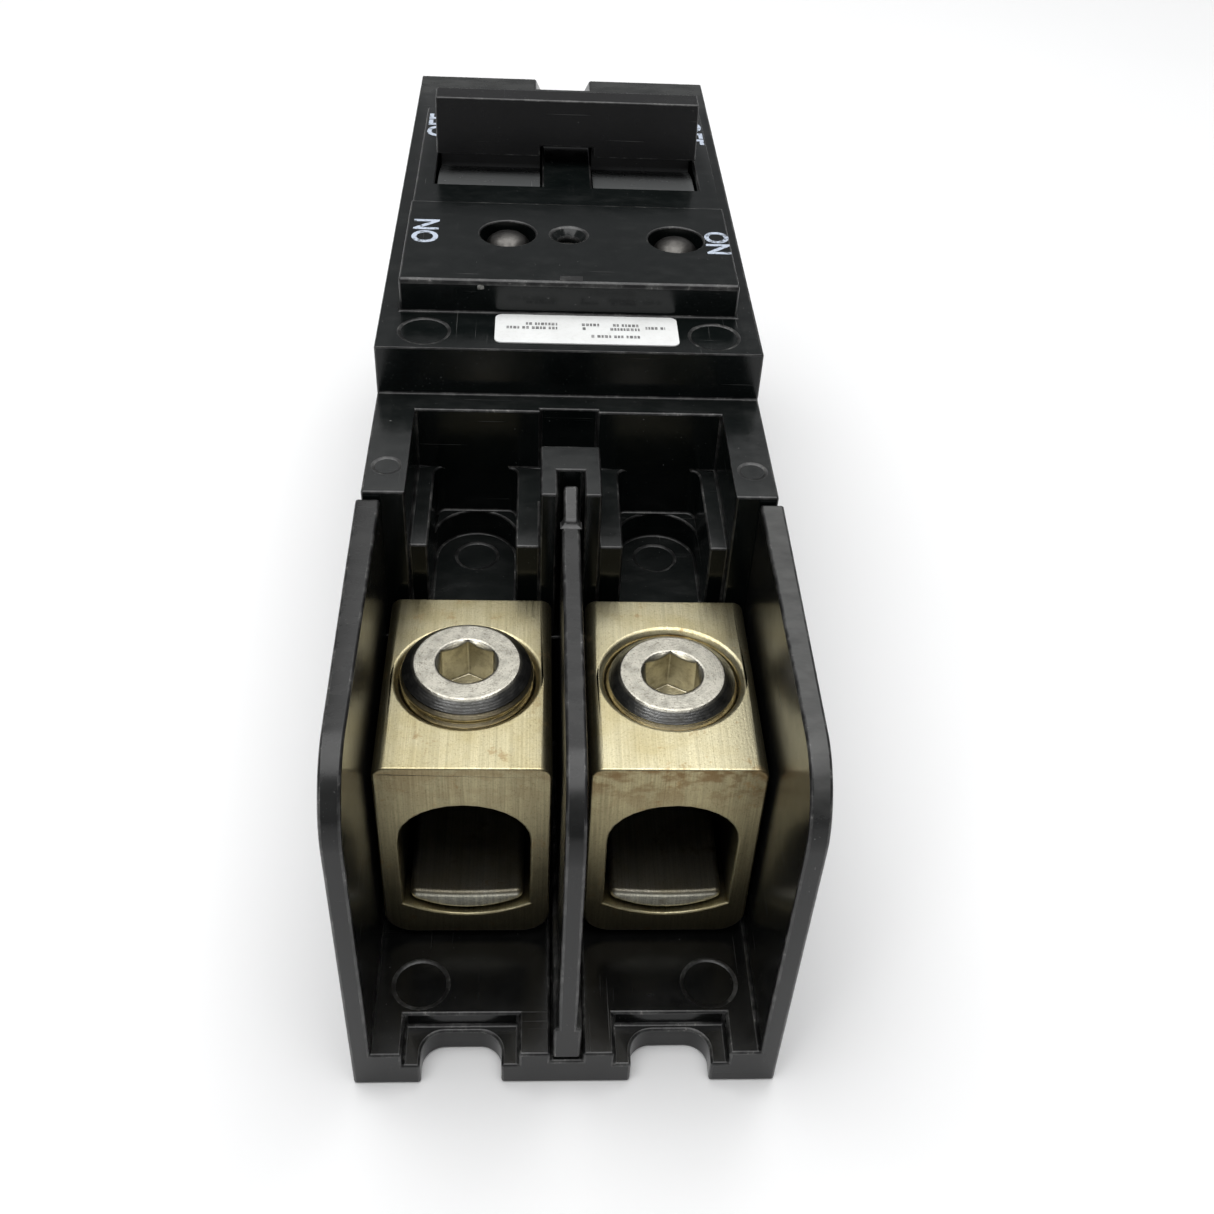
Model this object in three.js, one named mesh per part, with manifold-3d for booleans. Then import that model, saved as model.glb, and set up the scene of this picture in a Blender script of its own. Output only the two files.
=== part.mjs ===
// Two-pole molded case circuit breaker with box lugs and one wide handle.
// Millimetres, +Z up. X runs across the poles. Inside this file Y is counted from the lug end, and
// the whole group is shifted at the end so that the origin lies under the middle of the case.
import * as THREE from "three";
import { mergeVertices } from "three/addons/utils/BufferGeometryUtils.js";
import Module from "manifold-3d";

const wasm = await Module();
wasm.setup();

// ---- driving dimensions -------------------------------------------------------------------
const WIDTH = 63.5;
const LENGTH = 205.5;
const HALF = WIDTH / 2;
const POLE = 15.4; // distance of each pole's centre from the middle
const GAP = 0.3; // air between pieces that touch
const RUNNING = 0.1; // radial clearance of turning fits

const PART_Z = 38; // joint plane between base and cover
const SHELF_Z = 66.7; // top of the terminal tier
const DECK_Z = 75.4; // top of the label deck
const TOP_Z = 81.3; // top of the escutcheon
const COVER_Y = 58.7; // near face of the cover
const DECK_Y = 86.15; // riser between terminal tier and label deck
const FLOOR_Z = 7.7; // floor of the terminal bays

const WALL = 2.9; // case walls behind the terminals
const MID_WALL = 1.3; // half thickness of the wall between the poles
const BASE_FLOOR = 4;
const BULKHEAD_BACK = 62;
const CAVITY_Y = [88.6, 202.4];
const DECK_CEILING = 72.6;
const TOP_CEILING = 78.6;

const BARRIER = { z: 65.7, thick: 2.9, corner: 11, lean: 0.8 };
const NOTCH = { x: 15.7, half: 6, back: 5.8, radius: 3.4, recessHalf: 8.6, recessBack: 6.9, recessZ: 4.7 };
const GROOVE = { half: 2.4, depth: 2 }; // seat of the centre barrier in the floor

const WELL = { outer: 25.2, back: 81.4, ledgeZ: 55.4, ledgeY: 60.2 };
const CHANNEL = { half: 6.9, upperZ: 46.3, lowerZ: 41.3, endY: 74.3, corner: 1.7 };
const POST = { half: 4.7, back: 71.7, slotHalf: 2.1, slotBack: 65.2, nicheBack: 82.2 };

const SHELL = { half: 28.4, front: 97.9, chamfer: 0.5, sideEnd: 172, end: 185 };
const RELIEF = { front: 127.7, chamfer: 1.3, z: 80 }; // lowered deck around and behind the handle
const SLOT = { inner: 4.7, outer: 25, front: 138.1, back: 160.4 };
const RIM_NOTCH = { half: 5, mouth: 6.4, depth: 2.3, length: 6 };

// Shallow round ejector marks: radius, |x|, y, z of the face, depth.
const MARKS = {
  floor: [4.1, 22.2, 12.1, FLOOR_Z, 0.15],
  shelf: [2.1, 28.4, 65.6, SHELF_Z, 0.15],
  deck: [4.1, 24, 91.5, DECK_Z, 0.15],
  channel: [3.5, 15.3, 75, CHANNEL.lowerZ, 0.15],
};
const MARK_SLOPE = 1.5; // run of a mark's wall for each unit of its depth

const RECESSES = [[-10.7, 115.5], [18.8, 114.7]];
const RECESS = { r: 4.85, depth: 3.2, bossR: 6, bossDepth: 6.7 };
const RIVET = { r: 3.9, collar: 0.5, rise: 2.4 };
const DECK_HOLE = { y: 115.4, depth: 4, r: 1.9, rimR: 3.3, rimDepth: 1.4 };
const DECK_SCREW = { r: 1.6, topDepth: 2.2, slotHalf: 0.25, slotDepth: 0.6 };
const LABEL = { x: [-12.4, 18], y: [88, 97.1], r: 1.2, lift: 0.05, thick: 0.2 };
const CENTRE = {
  half: 1.4, tabHalf: 1.15, front: 0.4, z: 62.4, corner: 11, tabZ: 65.2, rampZ: 63.2,
  tabY: [56.8, 64.1],
};
const CENTRE_FOOT = { half: 2.1, z: 13.7 };

const LUG = { half: 12.7, front: 20.75, back: 56.9, bottom: 9.15, top: 47.15, lowR: 4.5, highR: 1.8 };
const OPENING = { half: 9.7, archZ: 39.2, springZ: 31.5, floorEdgeZ: 16.4, floorZ: 13.6 };
const SCREW = {
  y: 39.4, r: 10, shoulderR: 9.7, ringR: 7.9, length: 11.5, hexAcross: 7.9, mouthR: 4.9, socket: 7,
  chamfer: 1.5, footChamfer: 1.4,
};
const THREAD = { first: 2.3, pitch: 1.8, depth: 0.7, turns: 5 }; // measured down from the screw's top
const SCREW_TOP = { left: 50.2, right: 48.2 };
const SCREW_REACH_Z = 18.3; // lowest point of the tapped bore, which scallops the walls of the opening
const STRAP = {
  half: 8.7, top: 18, edge: 16.2, belly: 14.2, front: 21.2, back: 98, noseSag: 0.7,
  noseRise: 0.5,
};
const STRAP_SLOT = { margin: 0.4, z: 13.7 };
const PAD = { half: 8, y: 187, z: [5, 8], holeR: 4.2, holeY: 196 };
const PAD_WINDOW = { half: 9, y: 184.5, top: 13 };
const LINE = { front: 158, bend: 179, z: [10, 13], slope: 1.2 }; // raised part of the line strap

const PIVOT = { y: 142, z: PART_Z };
const PIN = { r: 2.5, wallLeft: 1.2 };
const SHIELD = { inner: 38.2, outer: 40.4, from: -7, to: 46.5 };
const LIP_R = 40.8; // underside of the cover, swept by the shield
const HANDLE = { inner: 5.1, outer: 24.6, barEnd: 24.9, armInner: 20.6, hubR: 6.5 };
const WEB = { r: 4, from: -60, to: 95, top: [8, 30] };
const GRIP = {
  foot: 44.34, footAngle: 5.95, nearTop: [148.4, 92.3], farTop: [153.4, 92.3],
  neck: [18, 23.5], bridge: 0.18,
};

const BAR = { y: 128, z: 27, r: 6, reach: 25.6, journalR: 3, journalReach: 29.2, seat: 0.4 };
const BEARING = { x: 29.55, half: 1.3, r: 3.2 };
const ARM = { half: 2.4, tail: 120.4, tip: 166, below: 3, above: 3, tipAbove: 4, drop: 5.2, bend: 12 };
const OPEN_ANGLE = 20; // degrees of contact arm lift when the breaker is off
const CONTACT = {
  y: 163, movingHalf: 2.4, moving: [-3, 2.6], fixedHalf: 3.4, fixed: [-4, 3.4], thick: 2,
  fixedTop: 16,
};
const CHUTE = {
  half: 9, y: [170, 188], z: [18, 50], cheek: 0.6, plates: 6, firstZ: 20.5, pitch: 5.4,
  plate: 1.2,
};
const CHUTE_THROAT = { half: 3.2, back: 176 };
const BRAID = { half: 3.5, thick: 1, path: [[99.1, 15.5], [110, 9], [111, 14], [119.4, 24.3]] };

const BIMETAL = { half: 3.5, y: [93, 94.2], top: 60 };
const YOKE = { half: 6.5, y: [89, 96], z: [20, 42], web: 1.8, arm: 1.6 };
const ARMATURE = { half: 6, y: [98, 99.4], z: [22, 50], hingeY: 98.7, hingeR: 1.3 };
const TRIM = { r: 1.3, length: 6.2, z: 56 };
const TRIP = { y: 102, z: 66, r: 2.6, reach: 25.8 };
const TRIP_PADDLE = { half: 4, y: [102.2, 104], bottom: 51 };
const TRIP_CATCH = { half: 2, y: [102, 108], z: [63.4, 65.6] };
const TRIP_SLOT = { y: [95, 108], top: 71 };
const CRADLE = { y: 172, z: 58, x: 10, half: 1, bore: 1.6, pin: 1.5 };
const CRADLE_PROFILE = [
  [107, 58.5], [113, 55.5], [150, 52], [172, 53.5], [176, 58], [172, 62], [150, 58], [112, 62.4], [107, 62.4],
];
const SPRING = { y: 150, z: [47, 73], r: 2.6, turns: 7, wire: 0.6 };

const SIDES = [["left", -1], ["right", 1]];

// ---- materials ----------------------------------------------------------------------------
const MOULD = { color: 0x17181a, roughness: 0.42, metalness: 0 };
const PLATED = { color: 0xb3a884, roughness: 0.42, metalness: 0.85 };
const METAL = { color: 0x8d8c88, roughness: 0.45, metalness: 0.9 };
const COPPER = { color: 0xa8653f, roughness: 0.4, metalness: 0.9 };
const SILVER = { color: 0xc9c9c4, roughness: 0.35, metalness: 0.95 };
const FIBRE = { color: 0x6e5a45, roughness: 0.8, metalness: 0 };
const PAPER = { color: 0xe6e6e2, roughness: 0.6, metalness: 0 };

// ---- solid helpers ------------------------------------------------------------------------
function toSolid(geometry) {
  const bare = geometry.index ? geometry.clone() : geometry;
  bare.deleteAttribute("normal");
  bare.deleteAttribute("uv");
  const merged = mergeVertices(bare, 1e-4);
  const mesh = new wasm.Mesh({
    numProp: 3,
    vertProperties: new Float32Array(merged.attributes.position.array),
    triVerts: new Uint32Array(merged.index.array),
  });
  return new wasm.Manifold(mesh);
}

function toGeometry(solid) {
  const mesh = solid.getMesh();
  const geometry = new THREE.BufferGeometry();
  geometry.setAttribute("position", new THREE.BufferAttribute(mesh.vertProperties, 3));
  geometry.setIndex(new THREE.BufferAttribute(mesh.triVerts, 1));
  geometry.computeVertexNormals();
  return geometry;
}

// Box between two corners.
function box(x0, x1, y0, y1, z0, z1) {
  const geometry = new THREE.BoxGeometry(x1 - x0, y1 - y0, z1 - z0);
  return toSolid(geometry.translate((x0 + x1) / 2, (y0 + y1) / 2, (z0 + z1) / 2));
}

// Outline in (x, y) extruded from z0 to z1.
function upright(shape, z0, z1, curveSegments = 12) {
  const options = { depth: z1 - z0, bevelEnabled: false, curveSegments };
  return toSolid(new THREE.ExtrudeGeometry(shape, options).translate(0, 0, z0));
}

// Outline in (y, z) extruded from x0 to x1.
function across(shape, x0, x1, curveSegments = 12) {
  const options = { depth: x1 - x0, bevelEnabled: false, curveSegments };
  const geometry = new THREE.ExtrudeGeometry(shape, options);
  const axes = new THREE.Matrix4().set(0, 0, 1, x0, 1, 0, 0, 0, 0, 1, 0, 0, 0, 0, 0, 1);
  return toSolid(geometry.applyMatrix4(axes));
}

// Outline in (x, z) extruded from y0 to y1.
function along(shape, y0, y1, curveSegments = 12) {
  const options = { depth: y1 - y0, bevelEnabled: false, curveSegments };
  const geometry = new THREE.ExtrudeGeometry(shape, options);
  const axes = new THREE.Matrix4().set(1, 0, 0, 0, 0, 0, -1, y1, 0, 1, 0, 0, 0, 0, 0, 1);
  return toSolid(geometry.applyMatrix4(axes));
}

// Upright body of revolution about (x, y); the profile holds [radius, z] pairs.
function turned(profile, x, y, segments = 32) {
  const points = profile.map(([r, z]) => new THREE.Vector2(r, z));
  const geometry = new THREE.LatheGeometry(points, segments).rotateX(Math.PI / 2);
  return toSolid(geometry.translate(x, y, 0));
}

function disc(r, x, y, z0, z1, segments = 32) {
  return turned([[0, z0], [r, z0], [r, z1], [0, z1]], x, y, segments);
}

// Round bar along X.
function rod(r, x0, x1, y, z, segments = 32) {
  const geometry = new THREE.CylinderGeometry(r, r, x1 - x0, segments).rotateZ(Math.PI / 2);
  return toSolid(geometry.translate((x0 + x1) / 2, y, z));
}

function outline(points) {
  const shape = new THREE.Shape();
  points.forEach(([a, b], i) => (i ? shape.lineTo(a, b) : shape.moveTo(a, b)));
  shape.closePath();
  return shape;
}

// Rectangle with rounded corners; radii run lower left, lower right, upper right, upper left.
function rounded(a0, a1, b0, b1, [r0, r1, r2, r3]) {
  const shape = new THREE.Shape();
  shape.moveTo(a0 + r0, b0);
  shape.lineTo(a1 - r1, b0);
  if (r1) shape.absarc(a1 - r1, b0 + r1, r1, -Math.PI / 2, 0);
  shape.lineTo(a1, b1 - r2);
  if (r2) shape.absarc(a1 - r2, b1 - r2, r2, 0, Math.PI / 2);
  shape.lineTo(a0 + r3, b1);
  if (r3) shape.absarc(a0 + r3, b1 - r3, r3, Math.PI / 2, Math.PI);
  shape.lineTo(a0, b0 + r0);
  if (r0) shape.absarc(a0 + r0, b0 + r0, r0, Math.PI, Math.PI * 1.5);
  return shape;
}

// Point at a radius and an angle from vertical about the handle's pivot; positive leans to the far end.
function polar(radius, degrees) {
  const angle = THREE.MathUtils.degToRad(degrees);
  return [PIVOT.y + radius * Math.sin(angle), PIVOT.z + radius * Math.cos(angle)];
}

function arcPoints(radius, fromDegrees, toDegrees, steps) {
  const points = [];
  for (let i = 0; i <= steps; i += 1) {
    points.push(polar(radius, fromDegrees + ((toDegrees - fromDegrees) * i) / steps));
  }
  return points;
}

const joined = (...solids) => solids.reduce((all, solid) => all.add(solid));
const cut = (solid, ...tools) => tools.reduce((rest, tool) => rest.subtract(tool), solid);

function piece(name, solid, material) {
  const mesh = new THREE.Mesh(toGeometry(solid), new THREE.MeshStandardMaterial(material));
  mesh.name = name;
  return mesh;
}

// ---- moulded case -------------------------------------------------------------------------
// Range of X from a to b, measured outwards on one side.
const outward = (side, a, b) => (side < 0 ? [-b, -a] : [a, b]);

// Range of X about the centre of a pole.
const aboutPole = (side, half) => [side * POLE - half, side * POLE + half];

// Disc that cuts an ejector mark; the wall of the mark slopes gently down to its floor.
function mark([r, x, y, z, depth], side) {
  const floorR = r - MARK_SLOPE * depth;
  return turned([
    [0, z - depth],
    [floorR, z - depth],
    [r, z],
    [r, z + 1],
    [0, z + 1],
  ], side * x, y, 24);
}

// Barrier outside each terminal bay; its outer face leans out a little towards the cover.
function sideBarrier(side) {
  const profile = rounded(0, COVER_Y - GAP, 0, BARRIER.z, [0, 0, 0, BARRIER.corner]);
  const slab = across(profile, ...outward(side, HALF - BARRIER.thick, HALF));
  return slab.warp((corner) => {
    const rise = (corner[2] - FLOOR_Z) / (BARRIER.z - FLOOR_Z);
    const outside = Math.abs(corner[0]) > HALF - GAP;
    if (outside && rise > 0) corner[0] += side * BARRIER.lean * rise * (corner[1] / COVER_Y);
  });
}

function mountingNotch(side) {
  const x = side * NOTCH.x;
  const mouth = rounded(x - NOTCH.half, x + NOTCH.half, -1, NOTCH.back, [0, 0, NOTCH.radius, NOTCH.radius]);
  const recessX = [x - NOTCH.recessHalf, x + NOTCH.recessHalf];
  const recess = box(...recessX, -1, NOTCH.recessBack, NOTCH.recessZ, FLOOR_Z + 1);
  return joined(upright(mouth, -1, FLOOR_Z + 1, 6), recess);
}

function poleCavity(side, z0, z1, y0, y1) {
  return box(...outward(side, MID_WALL, HALF - WALL), y0, y1, z0, z1);
}

// Open-topped round seat for one end of the crossbar, in the inside of the side wall.
function barBearing(side) {
  const reach = [side * BEARING.x - BEARING.half, side * BEARING.x + BEARING.half];
  const entry = box(...reach, BAR.y - BEARING.r, BAR.y + BEARING.r, BAR.z, PART_Z + 1);
  return joined(entry, rod(BEARING.r, ...reach, BAR.y, BAR.z, 24));
}

function pinSeat() {
  return rod(PIN.r + RUNNING, -HALF + PIN.wallLeft, HALF - PIN.wallLeft, PIVOT.y, PIVOT.z);
}

function makeBase() {
  const body = box(-HALF, HALF, 0, LENGTH, 0, PART_Z - GAP);
  const terminalBay = box(-HALF - 1, HALF + 1, -1, COVER_Y - GAP, FLOOR_Z, PART_Z + 1);
  let base = joined(cut(body, terminalBay), sideBarrier(-1), sideBarrier(1));
  for (const [, side] of SIDES) {
    const strapSlot = box(
      ...aboutPole(side, STRAP.half + STRAP_SLOT.margin),
      COVER_Y - 1, BULKHEAD_BACK + 1, STRAP_SLOT.z, STRAP.top + STRAP_SLOT.margin,
    );
    const window = box(...aboutPole(side, PAD_WINDOW.half), PAD_WINDOW.y, LENGTH + 1, -1, PAD_WINDOW.top);
    base = cut(
      base,
      mountingNotch(side),
      poleCavity(side, BASE_FLOOR, PART_Z + 1, BULKHEAD_BACK, CAVITY_Y[1]),
      strapSlot,
      window,
      mark(MARKS.floor, side),
      barBearing(side),
    );
  }
  const groove = box(-GROOVE.half, GROOVE.half, -1, COVER_Y - GAP, FLOOR_Z - GROOVE.depth, FLOOR_Z + 1);
  const seatR = BAR.r + BAR.seat;
  const barSlot = box(-MID_WALL - 1, MID_WALL + 1, BAR.y - seatR, BAR.y + seatR, BAR.z, PART_Z + 1);
  const barSeat = rod(seatR, -MID_WALL - 1, MID_WALL + 1, BAR.y, BAR.z);
  return cut(base, groove, barSlot, barSeat, pinSeat());
}

function coverOuter() {
  const tiers = outline([
    [COVER_Y, PART_Z],
    [LENGTH, PART_Z],
    [LENGTH, DECK_Z],
    [DECK_Y, DECK_Z],
    [DECK_Y, SHELF_Z],
    [COVER_Y, SHELF_Z],
  ]);
  const escutcheon = outline([
    [SHELL.front, DECK_Z - 2],
    [SHELL.front, TOP_Z - SHELL.chamfer],
    [SHELL.front + SHELL.chamfer, TOP_Z],
    [SHELL.sideEnd, TOP_Z],
    [SHELL.end, DECK_Z],
    [SHELL.end, DECK_Z - 2],
  ]);
  const relief = outline([
    [RELIEF.front, TOP_Z],
    [RELIEF.front, TOP_Z + 1],
    [LENGTH, TOP_Z + 1],
    [LENGTH, RELIEF.z],
    [RELIEF.front + RELIEF.chamfer, RELIEF.z],
  ]);
  const raised = cut(across(escutcheon, -SHELL.half, SHELL.half), across(relief, -HALF, HALF));
  return joined(across(tiers, -HALF, HALF), raised);
}

// Stepped recess behind each lug, with its half-round screwdriver channel.
function terminalWell(side) {
  const x = side * POLE;
  const span = outward(side, POST.half, WELL.outer);
  const upper = box(...span, COVER_Y - 1, WELL.back, WELL.ledgeZ, SHELF_Z + 1);
  const face = box(...span, COVER_Y - 1, WELL.ledgeY, PART_Z - 1, SHELF_Z);
  const corners = [0, 0, CHANNEL.corner, CHANNEL.corner];
  const throat = rounded(x - CHANNEL.half, x + CHANNEL.half, COVER_Y - 1, WELL.back, corners);
  const access = new THREE.Shape();
  access.moveTo(x - CHANNEL.half, COVER_Y - 1);
  access.lineTo(x + CHANNEL.half, COVER_Y - 1);
  access.absarc(x, CHANNEL.endY, CHANNEL.half, 0, Math.PI);
  return joined(
    upper,
    face,
    upright(throat, CHANNEL.upperZ, WELL.ledgeZ + 1, 4),
    upright(access, CHANNEL.lowerZ, WELL.ledgeZ, 10),
    mark(MARKS.channel, side),
  );
}

// Hollow of the cover over one pole, less the bosses under the rivets.
function coverCavity(side) {
  const low = poleCavity(side, PART_Z - 1, DECK_CEILING, CAVITY_Y[0], CAVITY_Y[1]);
  const span = outward(side, MID_WALL, SHELL.half - WALL);
  const high = box(...span, SHELL.front + WALL, SHELL.sideEnd - 2, DECK_CEILING - 1, TOP_CEILING);
  const bossZ = TOP_Z - RECESS.bossDepth;
  const bosses = RECESSES.map(([x, y]) => disc(RECESS.bossR, x, y, bossZ, TOP_Z - 1, 24));
  return cut(joined(low, high), ...bosses);
}

function deckHole() {
  return turned([
    [0, TOP_Z - DECK_HOLE.depth],
    [DECK_HOLE.r, TOP_Z - DECK_HOLE.depth],
    [DECK_HOLE.r, TOP_Z - DECK_HOLE.rimDepth],
    [DECK_HOLE.rimR, TOP_Z + RUNNING],
    [0, TOP_Z + RUNNING],
  ], 0, DECK_HOLE.y, 24);
}

function makeCover() {
  const niche = box(-POST.half, POST.half, POST.back, POST.nicheBack, WELL.ledgeZ, SHELF_Z + 1);
  const barrierSlot = box(-POST.slotHalf, POST.slotHalf, COVER_Y - 1, POST.slotBack, PART_Z - 1, SHELF_Z + 1);
  const sweep = rod(LIP_R, -SLOT.outer - GAP, SLOT.outer + GAP, PIVOT.y, PIVOT.z, 96)
    .intersect(box(-HALF, HALF, SHELL.front + WALL, CAVITY_Y[1], PART_Z - 1, TOP_Z));
  const rimNotch = along(outline([
    [-RIM_NOTCH.mouth, DECK_Z + 0.5],
    [-RIM_NOTCH.half, DECK_Z - RIM_NOTCH.depth],
    [RIM_NOTCH.half, DECK_Z - RIM_NOTCH.depth],
    [RIM_NOTCH.mouth, DECK_Z + 0.5],
  ]), LENGTH - RIM_NOTCH.length, LENGTH + 1);
  const tripSlot = box(-MID_WALL - 1, MID_WALL + 1, ...TRIP_SLOT.y, PART_Z - 1, TRIP_SLOT.top);
  let cover = cut(coverOuter(), niche, barrierSlot, rimNotch);
  for (const [, side] of SIDES) {
    const slotX = outward(side, SLOT.inner, SLOT.outer);
    const slot = box(...slotX, SLOT.front, SLOT.back, DECK_CEILING - 4, TOP_Z + 1);
    cover = cut(cover, terminalWell(side), coverCavity(side), slot);
    cover = cut(cover, mark(MARKS.shelf, side), mark(MARKS.deck, side));
  }
  const recesses = RECESSES.map(([x, y]) => disc(RECESS.r, x, y, TOP_Z - RECESS.depth, TOP_Z + 1, 32));
  return cut(cover, tripSlot, sweep, pinSeat(), ...recesses, deckHole());
}

function makeRivet([x, y]) {
  const seat = TOP_Z - RECESS.depth + GAP;
  const profile = [[0, seat], [RIVET.r, seat]];
  const steps = 6;
  for (let i = 0; i < steps; i += 1) {
    const a = (i / steps) * (Math.PI / 2);
    profile.push([RIVET.r * Math.cos(a), seat + RIVET.collar + RIVET.rise * Math.sin(a)]);
  }
  profile.push([0, seat + RIVET.collar + RIVET.rise]);
  return turned(profile, x, y, 24);
}

function makeDeckScrew() {
  const top = TOP_Z - DECK_SCREW.topDepth;
  const head = disc(DECK_SCREW.r, 0, DECK_HOLE.y, TOP_Z - DECK_HOLE.depth + GAP, top, 20);
  const slotY = [DECK_HOLE.y - DECK_SCREW.slotHalf, DECK_HOLE.y + DECK_SCREW.slotHalf];
  return cut(head, box(-DECK_HOLE.r, DECK_HOLE.r, ...slotY, top - DECK_SCREW.slotDepth, TOP_Z));
}

function makeLabel() {
  const shape = rounded(...LABEL.x, ...LABEL.y, [LABEL.r, LABEL.r, LABEL.r, LABEL.r]);
  const under = DECK_Z + LABEL.lift;
  return upright(shape, under, under + LABEL.thick, 4);
}

// Loose plate between the two bays: its foot stands in the floor's groove, its tab in the cover's slot.
function makeCentreBarrier() {
  const bottom = FLOOR_Z - GROOVE.depth + GAP;
  const back = COVER_Y - 3 * GAP;
  const plate = new THREE.Shape();
  plate.moveTo(CENTRE.front, bottom);
  plate.lineTo(back, bottom);
  plate.lineTo(back, CENTRE.z);
  plate.lineTo(CENTRE.front + CENTRE.corner, CENTRE.z);
  plate.absarc(CENTRE.front + CENTRE.corner, CENTRE.z - CENTRE.corner, CENTRE.corner, Math.PI / 2, Math.PI);
  const tab = outline([
    [CENTRE.tabY[0] - 3, PART_Z + 2],
    [CENTRE.tabY[1], PART_Z + 2],
    [CENTRE.tabY[1], CENTRE.tabZ - 1],
    [CENTRE.tabY[1] - 1, CENTRE.tabZ],
    [CENTRE.tabY[0], CENTRE.rampZ],
    [CENTRE.tabY[0] - 0.5, CENTRE.z],
    [CENTRE.tabY[0] - 3, CENTRE.z - 2],
  ]);
  const foot = box(-CENTRE_FOOT.half, CENTRE_FOOT.half, CENTRE.front, back, bottom, CENTRE_FOOT.z);
  return joined(
    across(plate, -CENTRE.half, CENTRE.half, 8),
    across(tab, -CENTRE.tabHalf, CENTRE.tabHalf),
    foot,
  );
}

// ---- terminals ----------------------------------------------------------------------------
function wireOpening(x) {
  const shape = new THREE.Shape();
  shape.moveTo(x - OPENING.half, OPENING.floorEdgeZ);
  shape.quadraticCurveTo(x, 2 * OPENING.floorZ - OPENING.floorEdgeZ, x + OPENING.half, OPENING.floorEdgeZ);
  shape.lineTo(x + OPENING.half, OPENING.springZ);
  const rise = OPENING.archZ - OPENING.springZ;
  const steps = 14;
  for (let i = 1; i < steps; i += 1) {
    const a = (i / steps) * Math.PI;
    shape.lineTo(x + OPENING.half * Math.cos(a), OPENING.springZ + rise * Math.sin(a));
  }
  shape.lineTo(x - OPENING.half, OPENING.springZ);
  return shape;
}

function makeLug(side) {
  const x = side * POLE;
  const corners = [LUG.lowR, LUG.lowR, LUG.highR, LUG.highR];
  const section = rounded(x - LUG.half, x + LUG.half, LUG.bottom, LUG.top, corners);
  const block = along(section, LUG.front, LUG.back, 6);
  const boreR = SCREW.r + GAP;
  const bore = disc(boreR, x, SCREW.y, SCREW_REACH_Z, LUG.top + 1, 40);
  const lead = 0.8;
  const mouth = turned([
    [0, LUG.top - lead],
    [boreR, LUG.top - lead],
    [boreR + lead, LUG.top],
    [boreR + lead, LUG.top + RUNNING],
    [0, LUG.top + RUNNING],
  ], x, SCREW.y, 40);
  return cut(block, along(wireOpening(x), LUG.front - 1, LUG.back + 1, 8), bore, mouth);
}

// Hex-socket set screw with a flat ring above a chamfered shoulder; its thread is cut as plain rings.
function makeSetScrew(name, side) {
  const x = side * POLE;
  const top = SCREW_TOP[name];
  const foot = top - SCREW.length;
  const profile = [[0, foot], [SCREW.r - SCREW.footChamfer, foot]];
  for (let i = THREAD.turns - 1; i >= 0; i -= 1) {
    const crest = top - THREAD.first - i * THREAD.pitch;
    profile.push([SCREW.r, crest - THREAD.pitch / 4]);
    profile.push([SCREW.r, crest]);
    profile.push([SCREW.r - THREAD.depth, crest + THREAD.pitch / 3]);
  }
  profile.push([SCREW.shoulderR, top - SCREW.chamfer], [SCREW.ringR, top], [0, top]);
  const body = turned(profile, x, SCREW.y, 40);
  const hexR = SCREW.hexAcross / Math.sqrt(3);
  const hex = new THREE.CylinderGeometry(hexR, hexR, SCREW.socket + 1, 6).rotateX(Math.PI / 2);
  const socket = toSolid(hex.translate(x, SCREW.y, top + (1 - SCREW.socket) / 2));
  const lead = 0.9;
  const countersink = turned([
    [0, top - lead],
    [hexR - lead, top - lead],
    [SCREW.mouthR, top + RUNNING],
    [0, top + RUNNING],
  ], x, SCREW.y, 32);
  return cut(body, socket, countersink);
}

// Strap with a saddle belly that lies in the lug's opening and runs back under the cover.
function makeLoadStrap(side) {
  const x = side * POLE;
  const section = new THREE.Shape();
  section.moveTo(x - STRAP.half, STRAP.edge);
  section.quadraticCurveTo(x, 2 * STRAP.belly - STRAP.edge, x + STRAP.half, STRAP.edge);
  section.lineTo(x + STRAP.half, STRAP.top);
  section.lineTo(x - STRAP.half, STRAP.top);
  const edge = STRAP.half + 1;
  const nose = new THREE.Shape();
  nose.moveTo(x - edge, STRAP.front + STRAP.noseSag);
  nose.quadraticCurveTo(x, STRAP.front - STRAP.noseRise, x + edge, STRAP.front + STRAP.noseSag);
  nose.lineTo(x + edge, STRAP.back + 1);
  nose.lineTo(x - edge, STRAP.back + 1);
  return along(section, STRAP.front, STRAP.back, 8).intersect(upright(nose, 0, PART_Z, 10));
}

// Copper strap from the fixed contact down to the bolt pad at the bus end.
function makeLineStrap(side) {
  const path = outline([
    [LINE.front, LINE.z[0]],
    [LINE.bend, LINE.z[0]],
    [PAD.y, PAD.z[0]],
    [LENGTH - 1, PAD.z[0]],
    [LENGTH - 1, PAD.z[1]],
    [PAD.y + LINE.slope, PAD.z[1]],
    [LINE.bend + LINE.slope, LINE.z[1]],
    [LINE.front, LINE.z[1]],
  ]);
  const hole = disc(PAD.holeR, side * POLE, PAD.holeY, PAD.z[0] - 1, PAD.z[1] + 1, 24);
  return cut(across(path, ...aboutPole(side, PAD.half)), hole);
}

// ---- handle -------------------------------------------------------------------------------
function between([y0, z0], [y1, z1], share) {
  return [y0 + (y1 - y0) * share, z0 + (z1 - z0) * share];
}

// Full section of the grip bar, over each pole.
function barOutline() {
  const underside = arcPoints(GRIP.foot, GRIP.neck[1], GRIP.footAngle, 5);
  return outline([...underside, GRIP.nearTop, GRIP.farTop]);
}

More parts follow.
